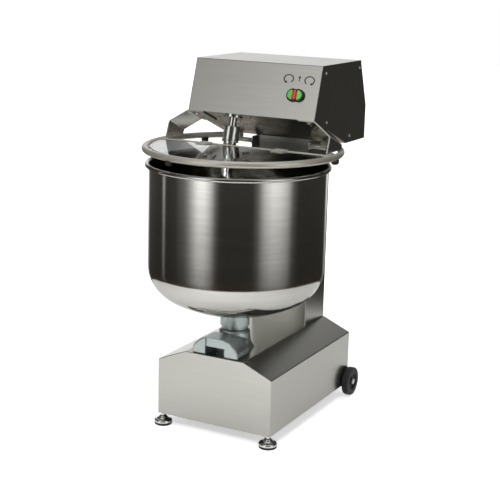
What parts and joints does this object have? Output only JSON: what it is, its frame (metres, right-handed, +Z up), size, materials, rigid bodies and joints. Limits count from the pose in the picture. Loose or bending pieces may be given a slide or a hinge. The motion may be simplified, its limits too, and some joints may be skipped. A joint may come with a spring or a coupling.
{
  "type": "stand mixer",
  "caption": "Floor-standing dough mixer: deep steel bowl on a driven spindle, leaning spiral tool under a box head, ring guard with a clear lid, wheeled base.",
  "frame": {"origin": "on the floor, under the middle of the machine's outline", "axes": "+Z up, -Y towards the machine's front, +X to the right seen from the front"},
  "size_m": [0.6212, 0.777, 1.143],
  "materials": {
    "brushed_casing": "brushed",
    "frame_steel": "satin",
    "cast_housing": "bead blasted casting",
    "drive_casting": "painted casting",
    "bearing_steel": "ground",
    "fastener_steel": "satin",
    "belt_rubber": "matte",
    "ring_steel": "satin",
    "bumper_rubber": "matte",
    "switch_plastic": "matte",
    "green_button": "gloss",
    "red_button": "gloss",
    "gland_plastic": "matte",
    "box_plastic": "matte",
    "bowl_steel": "mirror polished stainless steel",
    "shaft_steel": "polished",
    "pulley_metal": "machined",
    "clear_sheet": "clear polycarbonate",
    "tyre_rubber": "matte",
    "hub_plastic": "matte",
    "foot_chrome": "polished",
    "pad_rubber": "matte"
  },
  "bodies": {
    "machine": {"base_cover": "brushed_casing", "base_front_panel": "brushed_casing", "base_rear_panel": "brushed_casing", "base_frame": "frame_steel", "bowl_bearing_housing": "cast_housing", "housing_bolts": "fastener_steel", "bowl_bearing_lower": "bearing_steel", "bowl_bearing_upper": "bearing_steel", "bowl_gearmotor": "drive_casting", "bowl_drive_belt": "belt_rubber", "column_cover": "brushed_casing", "column_post": "frame_steel", "column_cheek_left": "brushed_casing", "column_cheek_right": "brushed_casing", "cheek_bolts": "fastener_steel", "head_cover": "brushed_casing", "head_side_panel_left": "brushed_casing", "head_side_panel_right": "brushed_casing", "head_underside_plate": "brushed_casing", "side_panel_screws": "fastener_steel", "underside_bolts": "fastener_steel", "control_box": "box_plastic", "switch_body": "switch_plastic", "spindle_housing": "drive_casting", "spindle_bearing_lower": "bearing_steel", "spindle_bearing_upper": "bearing_steel", "tool_gearmotor": "drive_casting", "tool_drive_belt": "belt_rubber", "guard_arm_left": "brushed_casing", "guard_arm_right": "brushed_casing", "guard_arm_bolts": "fastener_steel", "guard_ring": "ring_steel", "lid_hinge_rod": "ring_steel", "guard_bumpers": "bumper_rubber", "wheel_axles": "fastener_steel", "cable_gland": "gland_plastic"},
    "bowl": {"bowl": "bowl_steel", "bowl_hub": "shaft_steel", "bowl_spindle": "shaft_steel", "bowl_pulley": "pulley_metal"},
    "bowl_motor_pulley": {"bowl_motor_pulley": "pulley_metal"},
    "tool": {"tool_spindle": "shaft_steel", "tool_pulley": "pulley_metal", "coupling_socket": "shaft_steel", "coupling_pin": "shaft_steel", "mixing_tool": "shaft_steel"},
    "tool_motor_pulley": {"tool_motor_pulley": "pulley_metal"},
    "sleeve": {"coupling_sleeve": "shaft_steel"},
    "lid": {"clear_lid": "clear_sheet", "lid_knuckles": "ring_steel"},
    "start_button_left": {"start_button_left": "green_button"},
    "stop_button": {"stop_button": "red_button"},
    "start_button_right": {"start_button_right": "green_button"},
    "wheel_left": {"tyre_left": "tyre_rubber", "wheel_hub_left": "hub_plastic"},
    "wheel_right": {"tyre_right": "tyre_rubber", "wheel_hub_right": "hub_plastic"},
    "foot_left": {"foot_left": "foot_chrome", "foot_pad_left": "pad_rubber"},
    "foot_right": {"foot_right": "foot_chrome", "foot_pad_right": "pad_rubber"}
  },
  "joints": [
    {"name": "bowl_spin", "type": "hinge", "parent": "machine", "child": "bowl", "pos_m": [0, -0.103, 0.373], "axis": [0, 0, 1], "continuous": true},
    {"name": "bowl_motor_spin", "type": "hinge", "parent": "machine", "child": "bowl_motor_pulley", "pos_m": [0, 0.095, 0.1], "axis": [0, 0, 1], "continuous": true},
    {"name": "tool_spin", "type": "hinge", "parent": "machine", "child": "tool", "pos_m": [-0.075, -0.024, 0.888], "axis": [0, 0.2504, 0.9681], "continuous": true},
    {"name": "tool_motor_spin", "type": "hinge", "parent": "machine", "child": "tool_motor_pulley", "pos_m": [0.085, 0.09218, 0.85795], "axis": [0, 0.2504, 0.9681], "continuous": true},
    {"name": "sleeve_lift", "type": "slide", "parent": "tool", "child": "sleeve", "axis": [0, 0.2504, 0.9681], "range_m": [0, 0.022], "stiffness_N_per_m": 400, "springref_m": -0.004},
    {"name": "lid_lift", "type": "hinge", "parent": "machine", "child": "lid", "pos_m": [0, -0.075, 0.888], "axis": [-1, 0, 0], "range_deg": [0, 85]},
    {"name": "start_press_left", "type": "slide", "parent": "machine", "child": "start_button_left", "axis": [0, 0.9536, -0.301], "range_m": [0, 0.004], "stiffness_N_per_m": 500, "springref_m": -0.002},
    {"name": "stop_press", "type": "slide", "parent": "machine", "child": "stop_button", "axis": [0, 0.9536, -0.301], "range_m": [0, 0.004], "stiffness_N_per_m": 500, "springref_m": -0.002},
    {"name": "start_press_right", "type": "slide", "parent": "machine", "child": "start_button_right", "axis": [0, 0.9536, -0.301], "range_m": [0, 0.004], "stiffness_N_per_m": 500, "springref_m": -0.002},
    {"name": "wheel_spin_left", "type": "hinge", "parent": "machine", "child": "wheel_left", "pos_m": [-0.214, 0.3405, 0.048], "axis": [1, 0, 0], "continuous": true},
    {"name": "wheel_spin_right", "type": "hinge", "parent": "machine", "child": "wheel_right", "pos_m": [0.214, 0.3405, 0.048], "axis": [1, 0, 0], "continuous": true},
    {"name": "foot_level_left", "type": "slide", "parent": "machine", "child": "foot_left", "axis": [0, 0, -1], "range_m": [0, 0.015]},
    {"name": "foot_level_right", "type": "slide", "parent": "machine", "child": "foot_right", "axis": [0, 0, -1], "range_m": [0, 0.015]}
  ],
  "couplings": [
    {"joint": "bowl_motor_spin", "follows": "bowl_spin", "ratio": 2.9231},
    {"joint": "tool_motor_spin", "follows": "tool_spin", "ratio": 1}
  ]
}
